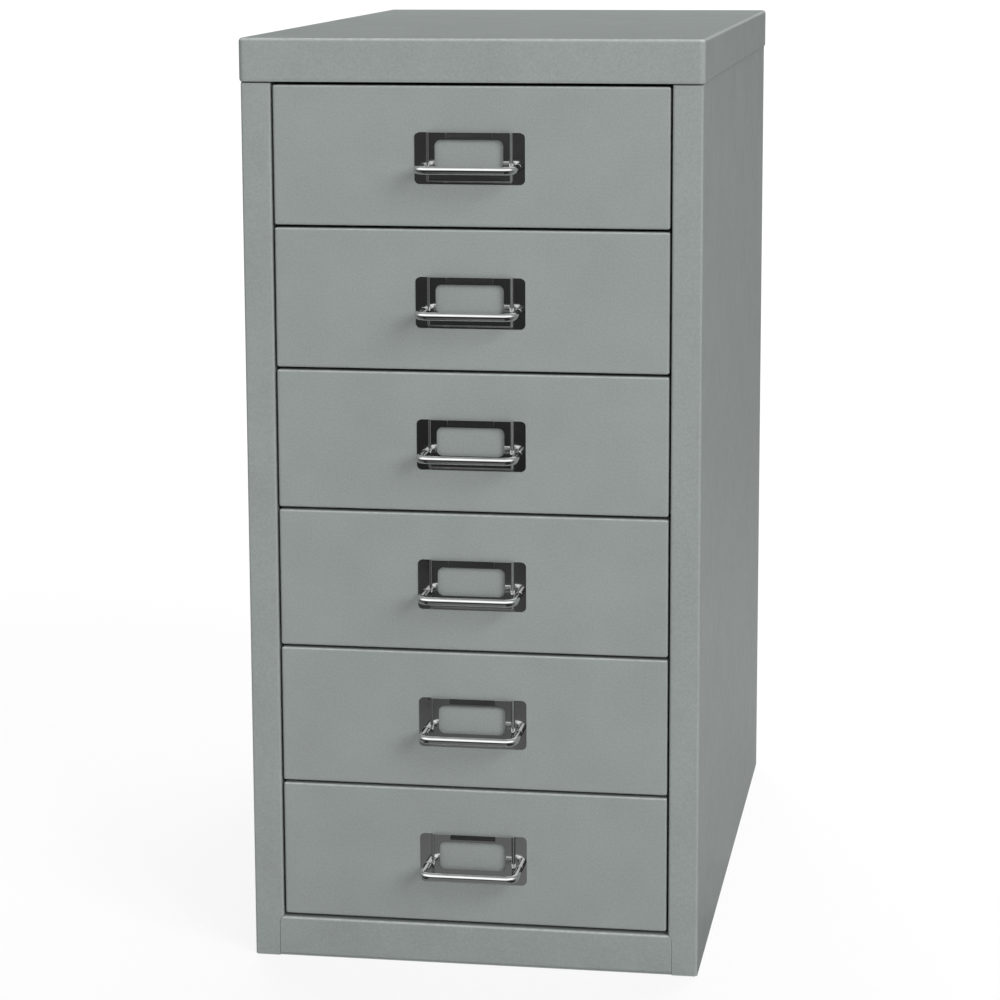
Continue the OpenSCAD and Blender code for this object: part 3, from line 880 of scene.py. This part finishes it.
def floor():
    """Pale floor that the camera sees as white, apart from the object's soft shadow."""
    nodes = Nodes("floor_white")
    bm = bmesh.new()
    bmesh.ops.create_grid(bm, x_segments=1, y_segments=1, size=FLOOR_SIZE)
    matt = nodes.add("ShaderNodeBsdfDiffuse", {"Color": FLOOR_PAINT})
    glow = nodes.add("ShaderNodeEmission", {"Strength": FLOOR_GLOW})
    share = nodes.span(from_middle(nodes), FLOOR_NEAR, FLOOR_FAR, FLOOR_SHARE, 1.0, smooth=True)
    mix = nodes.add("ShaderNodeMixShader", {0: nodes.math("MULTIPLY", seen(nodes.tree), share)})
    nodes.tree.links.new(matt.outputs[0], mix.inputs[1])
    nodes.tree.links.new(glow.outputs[0], mix.inputs[2])
    stage_object("floor", bm, nodes, mix.outputs[0])


def dome():
    """Half sphere just above the floor with a flat bottom, in metres."""
    bm = bmesh.new()
    rows = []
    for k in range(ROOM_SIDES):
        azimuth = 360 * k / ROOM_SIDES
        row = [direction(azimuth, 0) * ROOM_MIDDLE]
        row += [direction(azimuth, 90 * j / ROOM_RINGS) * ROOM_REACH for j in range(ROOM_RINGS)]
        rows.append([bm.verts.new(point + Z * ROOM_LIFT) for point in row])
    for a, b in zip(rows, rows[1:] + rows[:1]):
        for j in range(len(a) - 1):
            bm.faces.new((a[j], a[j + 1], b[j + 1], b[j]))
    bm.faces.new([row[0] for row in rows])
    bm.faces.new([row[-1] for row in rows])
    return bm


def room_ground(nodes, x, y):
    """Tone of the room's floor, from the direction towards it."""
    far_off = from_middle(nodes)
    strips = nodes.math("MAXIMUM", nodes.span(nodes.math("ABSOLUTE", x), *STRIP_ENDS, 1.0, DIM),
                        nodes.span(x, *LEFT_STARTS, DIM, 1.0))
    strips = nodes.math("MAXIMUM", strips, nodes.span(y, *STRIPS_END, 0.0, 1.0))
    near = nodes.span(far_off, ROOM_NEAR, ROOM_FAR, NEAR_TONE, 0.0, smooth=True)
    near = nodes.math("MULTIPLY", near, strips)
    rear = nodes.span(far_off, ROOM_NEAR, ROOM_FAR, REAR_NEAR, REAR_FAR)
    rear = nodes.math("MULTIPLY", nodes.span(y, *REAR_STARTS, 0.0, 1.0), rear)
    far = nodes.span(far_off, WALL_FROM, WALL_TO, FAR_TONE, WALL_TONE)
    return nodes.math("MAXIMUM", near, nodes.math("MAXIMUM", rear, far))


def room_band(nodes, y, z):
    """Tone of the bright band, from the direction towards it."""
    sines = [math.sin(math.radians(a)) for a in BAND_HEIGHTS]
    foot_starts, foot_full, starts, full, fades, ends = sines
    rise = nodes.math("MAXIMUM", nodes.span(z, foot_starts, foot_full, 0.0, BAND_FOOT),
                      nodes.span(z, starts, full, 0.0, 1.0))
    band = nodes.math("MULTIPLY", nodes.span(y, *BAND_TURNS, BAND_TONE, 0.0), rise)
    return nodes.math("MULTIPLY", band, nodes.span(z, fades, ends, 1.0, BAND_REST))


def room():
    """Dim room with one bright band in front, which only reflections see."""
    nodes = Nodes("dim_room")
    point = {0: nodes.coords.outputs["Object"]}
    towards = nodes.add("ShaderNodeVectorMath", point, operation="NORMALIZE").outputs["Vector"]
    x, y, z = nodes.add("ShaderNodeSeparateXYZ", {0: towards}).outputs
    below = nodes.math("LESS_THAN", z, HORIZON)
    above = nodes.math("GREATER_THAN", z, HORIZON)
    ground = nodes.math("MULTIPLY", room_ground(nodes, x, y), below)
    wall = nodes.math("MULTIPLY", above, WALL_TONE)
    sides = nodes.span(nodes.math("ABSOLUTE", x), SIDE_FROM, SIDE_FULL, 0.0, SIDE_TONE)
    patches = nodes.spread(nodes.noise(PATCHES, detail=3.0), PATCH_LOW, PATCH_HIGH)
    tone = nodes.math("MAXIMUM", nodes.math("MAXIMUM", ground, wall), sides)
    tone = nodes.math("MULTIPLY", tone, patches)
    tone = nodes.math("MAXIMUM", tone, room_band(nodes, y, z))
    bounces = nodes.add("ShaderNodeLightPath").outputs["Diffuse Depth"]
    from_paint = nodes.math("GREATER_THAN", bounces, 0.5)
    tone = nodes.math("MAXIMUM", tone, nodes.math("MULTIPLY", from_paint, PASSED_ON))
    glow = nodes.add("ShaderNodeEmission", {"Strength": tone})
    obj = stage_object("room", dome(), nodes, glow.outputs[0])
    obj.visible_camera = obj.visible_diffuse = False
    obj.visible_shadow = obj.visible_transmission = False


def lamps():
    """Soft lamps aimed at the cabinet."""
    for name, watts, size, azimuth, elevation, distance in LAMPS:
        data = bpy.data.lights.new(name, "AREA")
        data.shape = "RECTANGLE"
        data.size, data.size_y = size
        data.energy = watts
        lamp = bpy.data.objects.new(name, data)
        lamp.visible_glossy = False
        towards = direction(azimuth, elevation)
        lamp.location = LAMP_AIM + towards * distance
        lamp.rotation_mode = "QUATERNION"
        lamp.rotation_quaternion = towards.to_track_quat("Z", "Y")
        bpy.context.scene.collection.objects.link(lamp)


def camera():
    """The camera of the reference view. Its sizes in pixels are for an image of 1000 by 1000."""
    data = bpy.data.cameras.new("camera")
    data.sensor_width = SENSOR_MM
    data.lens = FOCAL_PX * SENSOR_MM / IMAGE_PX
    data.shift_x = (IMAGE_PX / 2 - CENTRE_PX[0]) / IMAGE_PX
    data.shift_y = (CENTRE_PX[1] - IMAGE_PX / 2) / IMAGE_PX
    back = direction(CAMERA_AZIMUTH, CAMERA_ELEVATION)
    right = Z.cross(back).normalized()
    up = back.cross(right)
    roll = math.radians(CAMERA_ROLL)
    rolled_right = right * math.cos(roll) + up * math.sin(roll)
    rolled_up = up * math.cos(roll) - right * math.sin(roll)
    obj = bpy.data.objects.new("camera", data)
    axes = Matrix((rolled_right, rolled_up, back)).transposed().to_4x4()
    obj.matrix_world = Matrix.Translation(CAMERA_PLACE) @ axes
    bpy.context.scene.collection.objects.link(obj)
    bpy.context.scene.camera = obj


carcass()
drawers()
world()
floor()
room()
lamps()
camera()
bpy.context.scene.view_settings.view_transform = "Standard"
